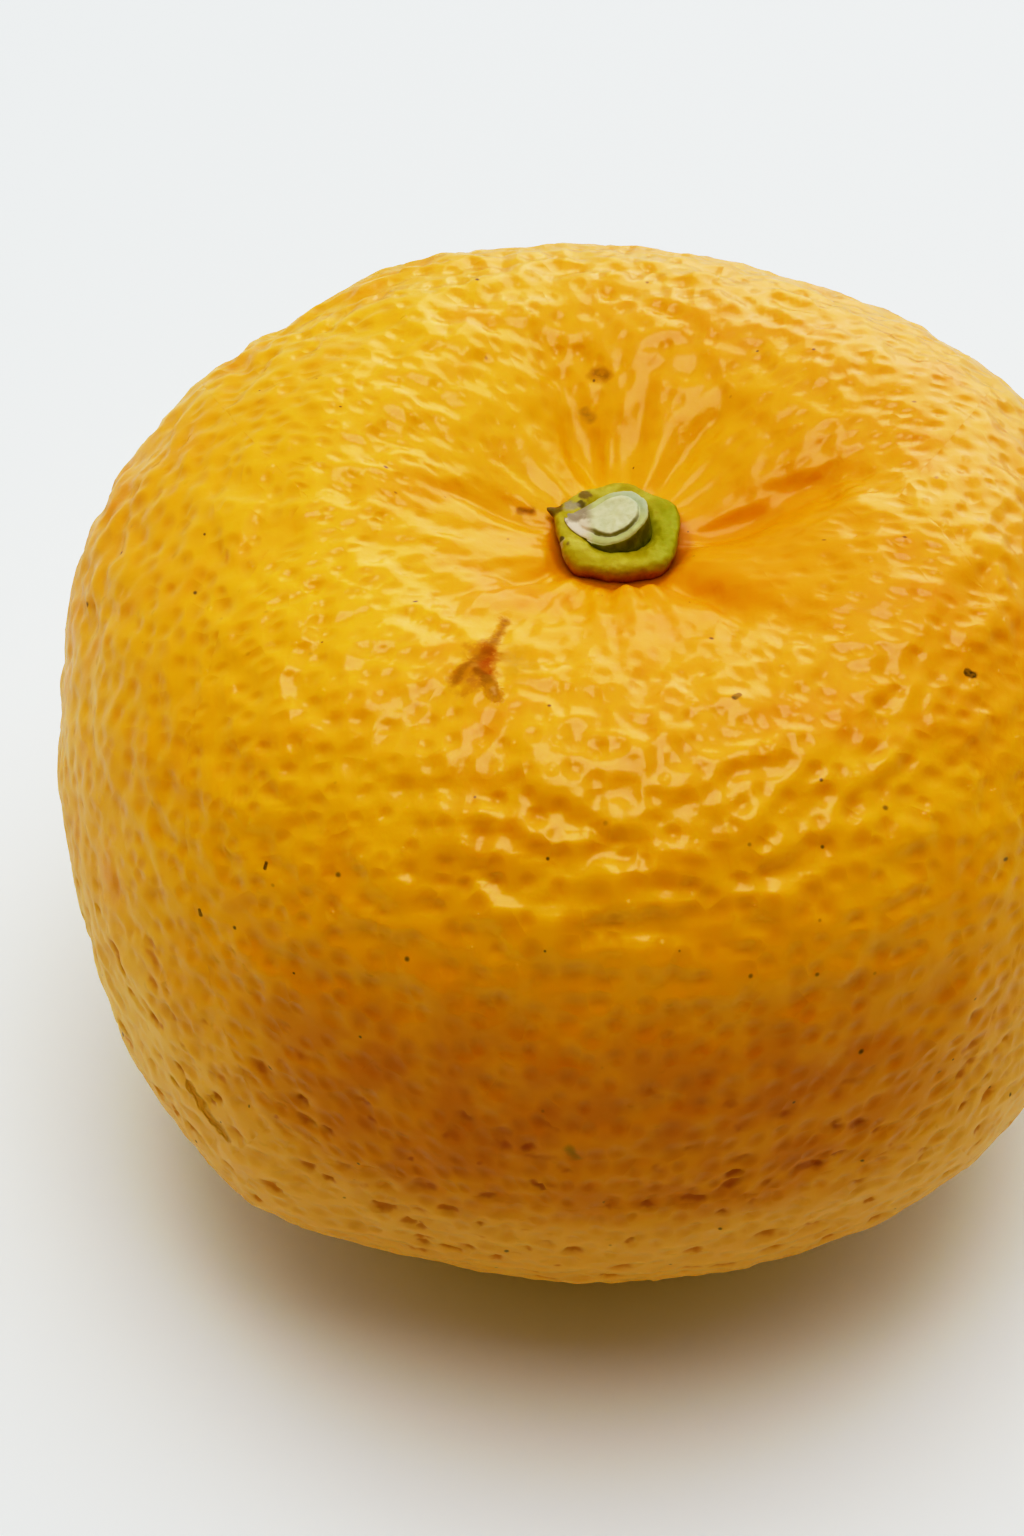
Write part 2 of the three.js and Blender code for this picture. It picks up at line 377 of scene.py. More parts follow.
# directions and distances that every part of the relief is written in
def skinPlaces(tree, position):
    place = scaled(tree, position, 1 / mm)
    fromCentre = vectors(tree, "SUBTRACT", place, girth["centre"] / mm)
    away = vectors(tree, "LENGTH", fromCentre, output="Value")
    x, y, z = axes(tree, fromCentre)
    stemX, stemY, _ = axes(tree, vectors(tree, "SUBTRACT", place, stemPoint / mm))
    fromStem = maths(tree, "MAXIMUM", flatLength(tree, stemX, stemY), 0.01)
    return {
        "place": place,
        "x": x,
        "y": y,
        "height": z,
        "aside": maths(tree, "ABSOLUTE", x),
        "across": maths(tree, "MAXIMUM", flatLength(tree, x, y), 0.01),
        "sheet": sheetPlace(tree, fromCentre),
        "polar": maths(tree, "DEGREES", maths(tree, "ARCCOSINE", maths(tree, "DIVIDE", z, away))),
        "fromStem": fromStem,
        "stemEast": maths(tree, "DIVIDE", stemX, fromStem),
        "stemNorth": maths(tree, "DIVIDE", stemY, fromStem),
        "stemAzimuth": maths(tree, "DEGREES", maths(tree, "ARCTAN2", stemY, stemX)),
        "top": maths(tree, "GREATER_THAN", z, 0.0),
    }


# dents of the oil glands, 1 at a gland's middle and 0 between glands, and the wider dots of
# colour over them, partly the glands' own darker colour and partly painted shade in the dents
def glandField(tree, at):
    radii = (peel["glandRadius"] * 0.6, peel["glandRadius"])
    share, _ = scattered(tree, at["sheet"], peel["glandSpacing"], radii, pick="X", jitter=0.75)
    return ramp(tree, share, 1.0, 0.0), ramp(tree, share, 1.3, 0.0)


# wide pits, deepest low on the sides and longer round the fruit than up and down, and the
# shallow hollows between them
def pitField(tree, at):
    squash = 1 / peel["pitStretch"]
    flat = combine(tree, product(tree, at["x"], squash), product(tree, at["y"], squash), at["height"])
    place = bent(tree, flat, at["place"], 0.6, 1.4, 2.0)
    radii = (0.25, peel["pitRadius"])
    share, chance = scattered(tree, place, peel["pitSpacing"], radii, pick="X", least=0.1, dimensions="3D")
    dent = product(tree, (share, 1.0, 0.05), (chance["X"], 0.1, 0.4))
    hollow = ramp(tree, noise(tree, place, 1.15, detail=0.5), 0.55, 0.72, 0.0, 0.45)
    low = ramp(tree, at["polar"], 66, 88, 0.0, 1.0)
    under = ramp(tree, at["polar"], 128, 150, 1.0, 0.3)
    return product(tree, dent, low, under), product(tree, hollow, low, under)


# rounded wrinkles that run round the fruit, high on the shoulder, with pebbles and lumps
def wrinkleField(tree, at):
    side = maths(tree, "SUBTRACT", at["across"], girth["radius"] / mm)
    fold = ramp(tree, at["height"], -8.0, 8.0, -1.0, 1.0, smooth=False)
    # how far down the skin from the stem end
    down = maths(tree, "SUBTRACT", product(tree, side, fold), at["height"])
    squash = 1 / peel["wrinkleStretch"]
    around = combine(tree, product(tree, at["x"], squash), product(tree, at["y"], squash),
                     product(tree, down, 0.85))
    around = bent(tree, around, at["place"], 0.13, 3.0, 1.0)
    soft = ramp(tree, noise(tree, around, peel["wrinkleWidth"], detail=1.0, rough=0.45), 0.36, 0.62)
    collar = ramp(tree, at["fromStem"], 8.0, 14.0)
    band = ramp(tree, at["polar"], 52, 84, 1.0, 0.4)
    patches = ramp(tree, noise(tree, at["place"], 11.0, detail=1.0), 0.35, 0.62, 0.4, 1.0)
    share = product(tree, collar, band, patches)
    pebble = wobble(tree, at["place"], peel["pebbleWidth"], detail=0.5)
    lump = wobble(tree, at["place"], peel["lumpWidth"], detail=0.0)
    return added(
        tree,
        product(tree, centred(tree, soft), peel["wrinkleHeight"], share),
        product(tree, pebble, peel["pebbleHeight"], collar, band),
        product(tree, lump, peel["lumpHeight"], collar),
    )


# a place to lay a pattern on that goes round the stalk
def roundStalk(tree, at, turns, along):
    return combine(tree, product(tree, at["stemEast"], turns), product(tree, at["stemNorth"], turns), along)


# pleats that gather round the stalk, broad ones and fine ones between them
def pleatField(tree, at):
    total = 0.0
    broad = (peel["pleatCount"], peel["pleatHeight"], 17.0, 0.0)
    fine = (peel["finePleatCount"], peel["finePleatHeight"], 14.0, 5.0)
    for count, height, reach, shift in (broad, fine):
        turns = count / (2 * math.pi)
        around = roundStalk(tree, at, turns, maths(tree, "MULTIPLY_ADD", at["fromStem"], 0.14, shift))
        wave = noise(tree, around, 1.0, detail=1.0, swirl=0.2)
        start = ramp(tree, at["fromStem"], 3.4, 5.4)
        end = ramp(tree, at["fromStem"], 7.5, reach, 1.0, 0.0)
        pleat = product(tree, centred(tree, wave), height, start, end, at["top"])
        total = maths(tree, "ADD", total, pleat)
    return total


# the skin comes up to the foot of the calyx, and stands higher in lobes in front of it
def brimField(tree, at):
    seat = product(tree, (at["fromStem"], 8.0, 4.0, 0.0, peel["seatHeight"]), at["top"])
    lobes = noise(tree, roundStalk(tree, at, 1.5, 3.0), 1.0, detail=0.0)
    lobes = ramp(tree, lobes, 0.3, 0.6, 0.55, 1.0)
    rise = ramp(tree, at["fromStem"], 3.9, 5.6)
    fall = ramp(tree, at["fromStem"], 15.0, 7.5)
    facing = ramp(tree, at["stemNorth"], 0.15, -0.65)
    brim = product(tree, lobes, rise, fall, facing, peel["brimHeight"], at["top"])
    return maths(tree, "ADD", seat, brim)


def creaseField(tree, at):
    total = 0.0
    for azimuth, turn, start, end, width, depth in peel["creases"]:
        middle = maths(tree, "MULTIPLY_ADD", at["fromStem"], turn, azimuth)
        off = maths(tree, "SUBTRACT", at["stemAzimuth"], middle)
        off = maths(tree, "WRAP", off, 180.0, -180.0)
        across = product(tree, off, at["fromStem"], math.radians(1) / width)
        hollow = maths(tree, "EXPONENT", product(tree, across, across, -1.0))
        starts = ramp(tree, at["fromStem"], start - 0.8, start + 1.5)
        ends = ramp(tree, at["fromStem"], end - 5.0, end + 2.0, 1.0, 0.0)
        total = maths(tree, "ADD", total, product(tree, hollow, starts, ends, -depth, at["top"]))
    return total


# how far along and how far aside a point is from the line between two places on the skin: the
# middle is 0, and aside is down the side where the azimuth grows
def lineBetween(tree, at, first, last):
    start, end = skinPoint(*first) / mm, skinPoint(*last) / mm
    middle = (start + end) / 2
    along = (end - start).normalized()
    outward = (middle - girth["centre"] / mm).normalized()
    offset = vectors(tree, "SUBTRACT", at["place"], middle)
    forward = vectors(tree, "DOT_PRODUCT", offset, along, output="Value")
    aside = vectors(tree, "DOT_PRODUCT", offset, along.cross(outward).normalized(), output="Value")
    away = vectors(tree, "LENGTH", offset, output="Value")
    half = (end - start).length / 2
    return forward, aside, away, half


def foldField(tree, at):
    waver = product(tree, wobble(tree, at["place"], 1.8, detail=1.0), 1.6)
    total = 0.0
    for first, last, bowed, rise, height in peel["folds"]:
        forward, aside, away, half = lineBetween(tree, at, first, last)
        share = product(tree, forward, 1 / half)
        bow = maths(tree, "MULTIPLY_ADD", product(tree, share, share), -bowed, bowed)
        aside = added(tree, maths(tree, "SUBTRACT", aside, bow), waver)
        height *= peel["foldShare"]
        dip = ramp(tree, aside, -1.8, 0.0, 0.0, -height / 2)
        climb = ramp(tree, aside, 0.0, rise, 0.0, height)
        runOut = ramp(tree, aside, rise, rise + 3.2, 0.0, -height / 2)
        ends = ramp(tree, maths(tree, "ABSOLUTE", share), 1.2, 0.45)
        near = ramp(tree, away, half + 4.5, half + 3.0)
        shape = product(tree, added(tree, dip, climb, runOut), ends, near)
        total = maths(tree, "ADD", total, shape)
    return total


def newTree(name, sockets):
    tree = bpy.data.node_groups.new(name, "GeometryNodeTree")
    tree.interface.new_socket("Geometry", in_out="INPUT", socket_type="NodeSocketGeometry")
    tree.interface.new_socket("Geometry", in_out="OUTPUT", socket_type="NodeSocketGeometry")
    for title, kind in sockets:
        tree.interface.new_socket(title, in_out="INPUT", socket_type="NodeSocket" + kind)
    return tree, tree.nodes.new("NodeGroupInput").outputs, tree.nodes.new("NodeGroupOutput")


# inputs go by the socket's identifier
def setInputs(modifier, values):
    for item in modifier.node_group.interface.items_tree:
        if item.item_type == "SOCKET" and item.in_out == "INPUT" and item.name in values:
            modifier[item.identifier] = values[item.name]


def moved(tree, mesh, **values):
    node = addNode(tree, "GeometryNodeSetPosition", {"Geometry": mesh, **values})
    return node.outputs[0]


def stored(tree, mesh, name, value, kind):
    values = {"Geometry": mesh, "Name": name, "Value": value}
    node = addNode(tree, "GeometryNodeStoreNamedAttribute", values, data_type=kind, domain="POINT")
    return node.outputs[0]


def buildPeelTree():
    sockets = [("Guide", "Object"), ("Panels", "Int"), ("Centre", "Vector"), ("Gland Depth", "Float"),
               ("Pit Depth", "Float"), ("Swell Height", "Float"), ("Peel Material", "Material")]
    tree, given, result = newTree("yuzuPeel", sockets)
    points = maths(tree, "ADD", given["Panels"], 1)
    sides = {"Vertices " + axis: points for axis in "XYZ"}
    cube = addNode(tree, "GeometryNodeMeshCube", {"Size": (2, 2, 2), **sides})
    start = addNode(tree, "GeometryNodeInputPosition").outputs[0]
    # equal steps of angle on each side, so the quads stay alike
    even = vectors(tree, "TANGENT", scaled(tree, start, math.pi / 4))
    plain = addNode(tree, "GeometryNodeObjectInfo", {"Object": given["Guide"]}).outputs["Geometry"]
    cast = addNode(tree, "GeometryNodeRaycast", {
        "Target Geometry": plain,
        "Source Position": given["Centre"],
        "Ray Direction": vectors(tree, "NORMALIZE", even),
        "Ray Length": 0.2,
    })
    laid = moved(tree, cube.outputs["Mesh"], Position=cast.outputs["Hit Position"])
    here = addNode(tree, "GeometryNodeInputPosition").outputs[0]
    rested = stored(tree, laid, "restPosition", here, "FLOAT_VECTOR")

    at = skinPlaces(tree, here)
    swell = wobble(tree, at["place"], peel["swellWidth"], detail=1.0)
    swell = product(tree, swell, given["Swell Height"], (at["fromStem"], 8, 16))
    gland, _ = glandField(tree, at)
    gland = product(tree, gland, given["Gland Depth"], -1.0, (at["fromStem"], 4.0, 9.0))
    pit = product(tree, maths(tree, "MAXIMUM", *pitField(tree, at)), given["Pit Depth"], -1.0)
    relief = added(tree, swell, wrinkleField(tree, at), pleatField(tree, at), creaseField(tree, at))
    kept = stored(tree, rested, "relief", relief, "FLOAT")
    total = added(tree, relief, brimField(tree, at), foldField(tree, at), gland, pit)
    calm = ramp(tree, at["polar"], 150, 168, 1.0, 0.25)  # where the fruit rests
    normal = addNode(tree, "GeometryNodeInputNormal").outputs[0]
    pushed = moved(tree, kept, Offset=scaled(tree, normal, product(tree, total, mm, calm)))
    # nothing goes below the surface that the fruit rests on
    x, y, z = axes(tree, addNode(tree, "GeometryNodeInputPosition").outputs[0])
    level = moved(tree, pushed, Position=combine(tree, x, y, maths(tree, "MAXIMUM", z, 0.0)))
    smooth = addNode(tree, "GeometryNodeSetShadeSmooth", {"Geometry": level}).outputs[0]
    real = addNode(tree, "GeometryNodeRealizeInstances", {"Geometry": smooth}).outputs[0]
    dress = {"Geometry": real, "Material": given["Peel Material"]}
    feed(tree, result.inputs[0], addNode(tree, "GeometryNodeSetMaterial", dress).outputs[0])
    return tree


def makePeel(material):
    skin = bpy.data.objects.new("peel", bpy.data.meshes.new("peel"))
    scene.collection.objects.link(skin)
    modifier = skin.modifiers.new("skin", "NODES")
    modifier.node_group = buildPeelTree()
    setInputs(modifier, {
        "Guide": guide,
        "Panels": peel["panels"],
        "Centre": girth["centre"],
        "Gland Depth": peel["glandDepth"],
        "Pit Depth": peel["pitDepth"],
        "Swell Height": peel["swellHeight"],
        "Peel Material": material,
    })
    flatten(skin)
    if not skin.data.materials:
        skin.data.materials.append(material)
    return skin


def markShare(tree, at, first, last, width, soft, waver):
    start, end = skinPoint(*first) / mm, skinPoint(*last) / mm
    way = end - start
    offset = vectors(tree, "SUBTRACT", at["place"], start)
    along = vectors(tree, "DOT_PRODUCT", offset, way / way.length_squared, output="Value")
    along = maths(tree, "ADD", along, 0.0, clamp=True)
    distance = vectors(tree, "DISTANCE", offset, scaled(tree, way, along), output="Value")
    distance = maths(tree, "MULTIPLY_ADD", waver, width * 1.8, distance)
    return ramp(tree, distance, width, width * (1 - soft))


# the marks that it grew with: the colour with them, how much wax is left, how far they stand up
def addMarks(tree, at, colour):
    waver = wobble(tree, at["place"], 0.8, detail=3.0, rough=0.6)
    broken = ramp(tree, noise(tree, at["place"], 0.4), 0.35, 0.6, 0.65, 1.0)
    waxed, height = 1.0, 0.0
    for first, last, width, soft, most, rise, shade in peel["marks"]:
        share = markShare(tree, at, first, last, width, soft, waver)
        colour = mixColour(tree, product(tree, share, broken, most), colour, shade)
        waxed = product(tree, waxed, maths(tree, "MULTIPLY_ADD", share, -0.75, 1.0))
        if rise:
            height = maths(tree, "MULTIPLY_ADD", share, rise, height)
    return colour, waxed, height


def skinColour(tree, at, dot):
    shades = peel["colours"]
    relief = addNode(tree, "ShaderNodeAttribute", attribute_name="relief").outputs["Fac"]
    pit, hollow = pitField(tree, at)
    # painted shade: the side that faces the front is darker and more orange, below the shoulder
    band = product(tree, (at["polar"], 55, 76), (at["polar"], 85, 100, 1.0, 0.4),
                   (at["aside"], 12, 24, 1.0, 0.4))
    mottled = ramp(tree, noise(tree, at["place"], 3.2), 0.36, 0.6, 0.65, 1.0)
    flankShade = product(tree, (at["y"], -17, -27), band, mottled)

    broad = ramp(tree, noise(tree, at["place"], 14.0), 0.35, 0.65)
    blotch = ramp(tree, noise(tree, at["place"], 5.0, detail=3.0), 0.5, 0.72, 0.0, 0.6)
    # painted shade: more orange in the sunken creases, most towards the front of the stalk
    creaseShade = product(tree, (relief, 0.0, -0.9, 0.0, 0.45), (at["stemNorth"], -0.2, 0.6, 1.0, 0.4))
    nearStem = product(tree, (at["fromStem"], 17.0, 6.0), (at["stemEast"], -0.6, 0.6, 0.12, 0.45))
    # deeper in colour towards the right of the top, and lighter towards the left
    deeper = product(tree, (at["x"], -12.0, 8.0, 0.0, 0.45), (at["polar"], 60.0, 35.0))
    lighter = product(tree, (at["x"], -2.0, -16.0, 0.0, 0.5), (at["polar"], 62.0, 40.0))
    # yellower behind the stalk and over the front shoulder
    behind = product(tree, (at["fromStem"], 18.0, 8.0), (at["stemNorth"], 0.1, 0.7, 0.0, 0.45))
    shoulder = product(tree, (at["y"], -12.0, -20.0), (at["polar"], 36.0, 50.0, 0.0, 0.55))
    # the gland dots on the front flank take the same painted shade
    dark = mixColour(tree, flankShade, shades["gland"], shades["flankShadeGland"])
    dotShare = ramp(tree, noise(tree, at["place"], 7.0), 0.3, 0.7, 0.08, 0.42)
    dotShare = product(tree, added(tree, dotShare, product(tree, flankShade, 0.25)),
                       (at["polar"], 18.0, 55.0, 0.3, 1.0))
    # painted reflection of the table: paler low on the sides and at the front
    pale = product(tree, (at["aside"], 14.0, 29.0, 0.0, 0.75), (at["polar"], 72.0, 96.0))
    tan = product(tree, (at["y"], -12.0, -22.0), (at["polar"], 88.0, 99.0, 0.0, 0.6))
    # painted shade on the pits of the front flank
    front = product(tree, (at["y"], -12.0, -24.0), band)
    pitShade = mixColour(tree, front, shades["pit"], shades["flankShadePit"])
    # painted shade in the pits, more of it towards the front
    pitShare = product(tree, (pit, 0.0, 0.8), (at["y"], -6.0, -24.0, 0.5, 0.85))
    # painted shadow under the calyx: darker where it meets the calyx, most at the front
    ring = product(tree, (at["fromStem"], 4.7, 4.1, 0.0, 0.7),
                   (at["stemNorth"], 0.8, -0.4, 0.35, 1.0), at["top"])
    return layered(tree, mixColour(tree, broad, shades["gold"], shades["yellow"]), (
        (blotch, shades["orange"]),
        (creaseShade, shades["orange"]),
        # painted light: yellower where the relief stands up
        (ramp(tree, relief, 0.0, 0.3, 0.0, 0.6), shades["yellow"]),
        (nearStem, shades["nearStem"]),
        (deeper, shades["deeper"]),
        (lighter, shades["lighter"]),
        (maths(tree, "MAXIMUM", behind, shoulder), shades["shoulder"]),
        (flankShade, shades["flankShade"]),
        (product(tree, dot, dotShare), dark),
        # painted shade in the shallow hollows
        (product(tree, hollow, 0.5), shades["hollow"]),
        (pale, shades["pale"]),
        (tan, shades["tan"]),
        (pitShare, pitShade),
        (ring, shades["ring"]),
    ))


def addSpecks(tree, at, colour):
    out, chance = scattered(tree, at["sheet"], peel["speckSpacing"], (0.09, 0.22))
    speck = product(tree, (out, 1.0, 0.2), (chance["X"], 0.70, 0.95, 0.0, 0.9))
    return mixColour(tree, speck, colour, peel["colours"]["speck"])


def makePeelMaterial():
    material, tree, shader = newMaterial("yuzuPeel", peel["finish"])
    rest = addNode(tree, "ShaderNodeAttribute", attribute_name="restPosition").outputs["Vector"]
    at = skinPlaces(tree, rest)
    gland, dot = glandField(tree, at)
    colour, waxed, markRise = addMarks(tree, at, skinColour(tree, at, dot))
    feed(tree, shader.inputs["Base Color"], addSpecks(tree, at, colour))
    feed(tree, shader.inputs["Roughness"], ramp(tree, waxed, 0.0, 1.0, 0.8, 0.5, smooth=False))
    # less wax around the stalk and low down
    dull = product(tree, (at["fromStem"], 18.0, 9.0), (at["stemEast"], -0.9, -0.4, 0.15, 0.6),
                   (at["stemNorth"], -0.3, 0.3, 1.0, 0.5), at["top"])
    waxShare = product(tree, waxed, maths(tree, "SUBTRACT", 1.0, dull),
                       (at["polar"], 62.0, 92.0, 1.0, 0.45), peel["waxShare"])
    feed(tree, shader.inputs["Coat Weight"], waxShare)

    # towards the stalk the glands fade out and fine pleats come in, and the sides are smoother
    away = product(tree, (at["fromStem"], 6.0, 17.0, 0.12, 1.0), (at["aside"], 18.0, 29.0, 1.0, 0.4),
                   (at["polar"], 22.0, 50.0, 0.7, 1.0))
    around = roundStalk(tree, at, 4.6, product(tree, at["fromStem"], 0.22))
    pleats = product(tree, noise(tree, around, 1.0, detail=1.0), (at["fromStem"], 12.0, 5.0),
                     (at["fromStem"], 3.2, 4.8), at["top"])
    grain = peel["grain"]
    bump = bumped(tree, added(
        tree,
        product(tree, gland, grain["gland"], away),
        product(tree, noise(tree, at["place"], 0.35), grain["fine"]),
        product(tree, noise(tree, at["place"], 0.9, detail=0.0), grain["knobs"], away),
        product(tree, pleats, grain["pleats"]),
        markRise,
    ))
    feed(tree, shader.inputs["Normal"], bump)
    # the wax stands in small knobs of its own
    out, chance = scattered(tree, at["sheet"], peel["beadSpacing"], (0.22, 0.42))
    bead = product(tree, (out, 1.0, 0.1), (chance["X"], 0.35, 0.9))
    bead = product(tree, bead, peel["beadHeight"], away)
    feed(tree, shader.inputs["Coat Normal"], bumped(tree, bead, Normal=bump))
    return material


calyx = {
    "radius": 3.66,  # to the middle of an edge between two lobes
    "lobes": ((25, 0.34), (84, 0.30), (152, 0.32), (226, 0.38), (314, 0.40)),  # azimuth, how far out
    "lobeWidth": 17.0,
    "hole": 2.2,
    "holeDent": {"azimuth": 262, "depth": 0.25, "width": 50},
    "holeNarrowing": 0.35,  # where it closes on the stalk
    "thickness": 1.7,
    "squareness": 2.8,
    # the dry end of one sepal
    "tip": {"azimuth": 157, "length": 0.75, "width": 4.5, "height": 1.15, "spread": 0.32, "lift": 0.2},
    "lumpHeight": 0.16,
    "sectors": 216,
    "steps": 72,
    # azimuth, distance from the stalk's middle, height, size, colour
    "marks": (
        (157, 4.6, 1.3, 0.8, (0.22, 0.15, 0.06)),
        (157, 3.9, 1.5, 0.6, (0.20, 0.12, 0.03)),
        (128, 3.1, 1.7, 0.5, (0.20, 0.12, 0.03)),
        (140, 2.8, 1.7, 0.35, (0.10, 0.055, 0.018)),
        (150, 3.2, 1.6, 0.6, (0.36, 0.31, 0.21)),
        (199, 3.7, 1.3, 0.6, (0.52, 0.43, 0.27)),
        (213, 3.9, 0.9, 0.55, (0.52, 0.43, 0.27)),
        (196, 3.5, 1.5, 0.28, (0.10, 0.055, 0.018)),
        (207, 3.3, 1.6, 0.22, (0.20, 0.12, 0.03)),
        (288, 3.9, 0.35, 0.35, (0.10, 0.055, 0.018)),
        (262, 3.8, 0.3, 0.3, (0.52, 0.43, 0.27)),
    ),
    "markSoftness": 0.5,
    "colours": {
        "plain": (0.42, 0.34, 0.016),
        "pale": (0.52, 0.46, 0.08),
        "green": (0.33, 0.37, 0.02),
        "fleck": (0.42, 0.28, 0.02),
        "dry": (0.52, 0.25, 0.008),
        "foot": (0.34, 0.10, 0.005),
    },
    "finish": {
        "Roughness": 0.55,
        "IOR": 1.38,
        "Subsurface Weight": 0.15,
        "Subsurface Radius": (0.5, 0.5, 0.1),
        "Subsurface Scale": 0.6 * mm,
    },
}

stalk = {
    "foot": 2.12,
    "radius": 1.98,
    "height": 2.5,  # at the middle of the cut
    "slope": 20.0,
    "slopeAzimuth": 190.0,
    "lean": (-0.25, 0.1),
    "torn": {"azimuth": 172, "reach": 0.95, "width": 24.0},  # bark that still holds to the calyx
    "stepHeight": 0.16,  # of the wood above the bark
    "ribs": 0.05,
    "sectors": 144,
    "sideSteps": 14,
    # share of the radius and drop below the step, over the bark and then over the wood
    "barkLoops": ((1.0, 0.14), (0.98, 0.05), (0.94, 0.01), (0.88, -0.01), (0.82, 0.0), (0.77, 0.03),
                  (0.74, 0.05)),
    "woodLoops": ((0.715, 0.08), (0.69, 0.0), (0.66, -0.03)),
    "innerLoops": (0.60, 0.54, 0.46, 0.38, 0.30, 0.22, 0.14, 0.06),
    "innerDrop": -0.04,
    "colours": {
        "wood": (0.55, 0.55, 0.34),
        "paleWood": (0.64, 0.63, 0.42),
        "heart": (0.62, 0.62, 0.38),
        "line": (0.20, 0.18, 0.05),
        "edge": (0.50, 0.51, 0.24),
        "blue": (0.47, 0.50, 0.33),
        "bark": (0.17, 0.17, 0.015),
        "paleBark": (0.25, 0.25, 0.03),
        "scar": (0.68, 0.60, 0.46),
        "dryScar": (0.36, 0.30, 0.20),
    },
    "finish": {
        "Roughness": 0.62,
        "Subsurface Weight": 0.15,
        "Subsurface Radius": (0.5, 0.5, 0.3),
        "Subsurface Scale": 0.5 * mm,
    },
}

stemFoot = Vector((1.0, 0.35, calyxLow.z / mm))


def apart(first, second):
    return (first - second + 180) % 360 - 180


def bell(value, width):
    return math.exp(-((value / width) ** 2))


def rooted(value, power):
    return math.copysign(abs(value) ** power, value)


# rows of points, one loop of sectors each: the first and the last row meet, or both ends close
# on a point of their own
def makeRows(name, rows, caps, material):
    mesh = bmesh.new()
    loops = [[mesh.verts.new(place * mm) for place in row] for row in rows]
    count = len(loops[0])
    pairs = list(zip(loops, loops[1:]))
    if not caps:
        pairs.append((loops[-1], loops[0]))
    for lower, upper in pairs:
        for i in range(count):
            k = (i + 1) % count
            mesh.faces.new((lower[i], lower[k], upper[k], upper[i]))
    for loop, cap, last in zip((loops[0], loops[-1]), caps, (False, True)):
        tip = mesh.verts.new(cap * mm)
        for i in range(count):
            k = (i + 1) % count
            mesh.faces.new((loop[i], loop[k], tip) if last else (loop[k], loop[i], tip))
    for face in mesh.faces:
        face.smooth = True
    bmesh.ops.recalc_face_normals(mesh, faces=mesh.faces)
    data = bpy.data.meshes.new(name)
    mesh.to_mesh(data)
    mesh.free()
    data.materials.append(material)
    piece = bpy.data.objects.new(name, data)
    scene.collection.objects.link(piece)
    return piece


def calyxPoint(azimuth, turn):
    width = calyx["lobeWidth"]
    lobes = sum(height * bell(apart(azimuth, lobe), width) for lobe, height in calyx["lobes"])
    outer = calyx["radius"] + lobes
    a = math.radians(azimuth)
    outward = Vector((math.cos(a), math.sin(a), 0))
    side = rooted(math.cos(turn), 2 / calyx["squareness"])
    up = rooted(math.sin(turn), 2 / calyx["squareness"])
    dent = calyx["holeDent"]
    inner = calyx["hole"] + 0.22 * softNoise.noise(outward * 1.3)
    inner -= dent["depth"] * bell(apart(azimuth, dent["azimuth"]), dent["width"])
    inner -= calyx["holeNarrowing"] * (1 - up)
    reach = (outer + inner) / 2 + side * (outer - inner) / 2
    rise = calyx["thickness"] * (1 + up) / 2
    # the outside narrows to its foot, and the top falls a little towards the hole
    reach -= 0.22 * max(side, 0) * (1 - up) / 2
    rise -= 0.14 * (1 - side) / 2 * max(up, 0)
    tip = calyx["tip"]
    spike = bell(apart(azimuth, tip["azimuth"]), tip["width"]) * max(side, 0) ** 2
    spike *= bell(rise - tip["height"], tip["spread"])
    place = outward * (reach + tip["length"] * spike) + Vector((0, 0, rise + tip["lift"] * spike))
    away = (outward * side + Vector((0, 0, up))).normalized()
    lump = softNoise.noise(place * 0.8) + 0.35 * softNoise.noise(place * 2.6)
    return stemFoot + place + away * lump * calyx["lumpHeight"]


def makeCalyx(material):
    azimuths = [360 * i / calyx["sectors"] for i in range(calyx["sectors"])]
    turns = [2 * math.pi * k / calyx["steps"] for k in range(calyx["steps"])]
    rows = [[calyxPoint(azimuth, turn) for azimuth in azimuths] for turn in turns]
    return makeRows("calyxDisc", rows, (), material)


# share is 0 at the middle of the cut and 1 at its edge, depth is how deep below the cut
def stalkPoint(azimuth, share, depth, drop):
    a = math.radians(azimuth)
    outward = Vector((math.cos(a), math.sin(a), 0))
    down = 1 - depth
    torn = stalk["torn"]
    tear = bell(apart(azimuth, torn["azimuth"]), torn["width"]) * down ** 6
    width = stalk["foot"] + (stalk["radius"] - stalk["foot"]) * down + torn["reach"] * tear
    fine = softNoise.noise(outward * 9 + Vector((0, 0, depth)))
    width += stalk["ribs"] * (1.6 * softNoise.noise(outward * 2.6) + 0.5 * fine)
    place = outward * width * share + Vector(stalk["lean"] + (0,)) * down
    lean = math.radians(stalk["slopeAzimuth"])
    fall = math.tan(math.radians(stalk["slope"])) * (place.x * math.cos(lean) + place.y * math.sin(lean))
    cut = max(stalk["height"] - fall, calyx["thickness"] + 0.1 * softNoise.noise(place * 1.7))
    rough = 0.07 * softNoise.noise(place * 1.1) + 0.035 * softNoise.noise(place * 3.2)
    return stemFoot + place + Vector((0, 0, (cut + rough * down) * down - drop * down * (1 - tear)))


